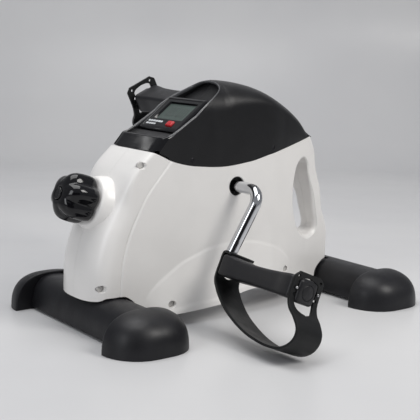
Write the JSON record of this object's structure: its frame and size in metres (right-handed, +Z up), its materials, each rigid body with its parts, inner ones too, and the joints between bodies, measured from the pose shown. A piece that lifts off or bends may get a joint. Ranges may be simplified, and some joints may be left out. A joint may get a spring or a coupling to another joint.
{
  "type": "pedal exerciser",
  "caption": "Floor pedal exerciser: white clamshell body with carry handle, hooded black cover with monitor, tension knob, bent cranks with strapped pedals and feet on two crossbars.",
  "frame": {"origin": "on the floor, at the centre of the bounding box", "axes": "+X from the knob end to the carry-handle end, +Y across to the left pedal, +Z up"},
  "size_m": [0.5247, 0.5552, 0.3165],
  "materials": {
    "white_shell": "smooth glossy white ABS",
    "black_cover": "fine-textured black ABS",
    "gloss_black": "polished black plastic",
    "foot_plastic": "satin dark grey moulded plastic",
    "pedal_plastic": "satin black moulded plastic",
    "strap_rubber": "soft matt black rubber",
    "chrome": "bright chrome plate",
    "steel": "zinc-plated steel",
    "painted_steel": "black powder coat",
    "cast_iron": "machined cast iron",
    "pulley_plastic": "dark grey nylon",
    "belt_rubber": "ribbed black rubber",
    "lcd_glass": "grey-green display behind a clear lens",
    "red_button": "red silicone",
    "magnet": "nickel-plated magnet"
  },
  "bodies": {
    "frame": {"right_shell": "white_shell", "left_shell": "white_shell", "knob_collar": "white_shell", "top_cover": "black_cover", "monitor_back": "black_cover", "monitor_case": "gloss_black", "front_bar_cover": "foot_plastic", "rear_bar_cover": "foot_plastic", "front_foot_cap_right": "foot_plastic", "front_foot_cap_left": "foot_plastic", "rear_foot_cap_right": "foot_plastic", "rear_foot_cap_left": "foot_plastic", "shell_screw_1": "steel", "shell_screw_2": "steel", "shell_screw_3": "steel", "shell_screw_4": "steel", "cover_screw_right_1": "steel", "cover_screw_right_2": "steel", "cover_screw_left_1": "steel", "cover_screw_left_2": "steel", "brake_pin": "steel", "brake_spring": "steel", "front_bar_bolt": "steel", "rear_bar_bolt": "steel", "crank_bearing_right": "steel", "crank_bearing_left": "steel", "flywheel_bearing_right": "steel", "flywheel_bearing_left": "steel", "front_crossbar": "painted_steel", "rear_crossbar": "painted_steel", "base_plate": "painted_steel", "frame_plate_right": "painted_steel", "frame_plate_left": "painted_steel", "speed_sensor": "pulley_plastic", "drive_belt": "belt_rubber", "lcd_panel": "lcd_glass"},
    "crank": {"crank_axle": "steel", "right_crank": "chrome", "left_crank": "chrome", "right_crank_pin": "steel", "left_crank_pin": "steel", "drive_pulley": "pulley_plastic", "pulley_magnet": "magnet", "right_pedal_nut": "steel", "left_pedal_nut": "steel"},
    "pedal_right": {"right_pedal": "pedal_plastic", "right_strap": "strap_rubber"},
    "pedal_left": {"left_pedal": "pedal_plastic", "left_strap": "strap_rubber"},
    "flywheel_set": {"flywheel": "cast_iron", "flywheel_axle": "steel", "flywheel_pulley": "pulley_plastic"},
    "knob": {"tension_knob": "gloss_black", "knob_cap": "gloss_black", "tension_screw": "steel"},
    "slider": {"tension_slider": "pulley_plastic"},
    "brake": {"brake_arm": "painted_steel", "brake_magnet_1": "magnet", "brake_magnet_2": "magnet"},
    "button": {"monitor_button": "red_button"}
  },
  "joints": [
    {"name": "crank_spin", "type": "hinge", "parent": "frame", "child": "crank", "pos_m": [-0.01, 0, 0.177], "axis": [0, 1, 0], "continuous": true},
    {"name": "right_pedal_spin", "type": "hinge", "parent": "crank", "child": "pedal_right", "pos_m": [-0.05881, -0.17, 0.07954], "axis": [0, 1, 0], "continuous": true},
    {"name": "left_pedal_spin", "type": "hinge", "parent": "crank", "child": "pedal_left", "pos_m": [0.03881, 0.17, 0.27446], "axis": [0, 1, 0], "continuous": true},
    {"name": "flywheel_spin", "type": "hinge", "parent": "frame", "child": "flywheel_set", "pos_m": [-0.101, 0, 0.098], "axis": [0, 1, 0], "continuous": true},
    {"name": "knob_turn", "type": "hinge", "parent": "frame", "child": "knob", "pos_m": [-0.22253, 0, 0.16827], "axis": [0.9511, 0, -0.309], "range_deg": [0, 1080]},
    {"name": "slider_travel", "type": "slide", "parent": "frame", "child": "slider", "axis": [0.9511, 0, -0.309], "range_m": [0, 0.0051]},
    {"name": "brake_swing", "type": "hinge", "parent": "frame", "child": "brake", "pos_m": [-0.168, -0.012, 0.074], "axis": [0, 1, 0], "range_deg": [0, 4.5]},
    {"name": "button_press", "type": "slide", "parent": "frame", "child": "button", "axis": [0.6188, 0, -0.7855], "range_m": [0, 0.0012], "stiffness_N_per_m": 300}
  ],
  "couplings": [
    {"joint": "flywheel_spin", "follows": "crank_spin", "ratio": 4.58},
    {"joint": "slider_travel", "follows": "knob_turn", "m_per_rad": 0.000265},
    {"joint": "brake_swing", "follows": "knob_turn", "ratio": 0.00407}
  ]
}
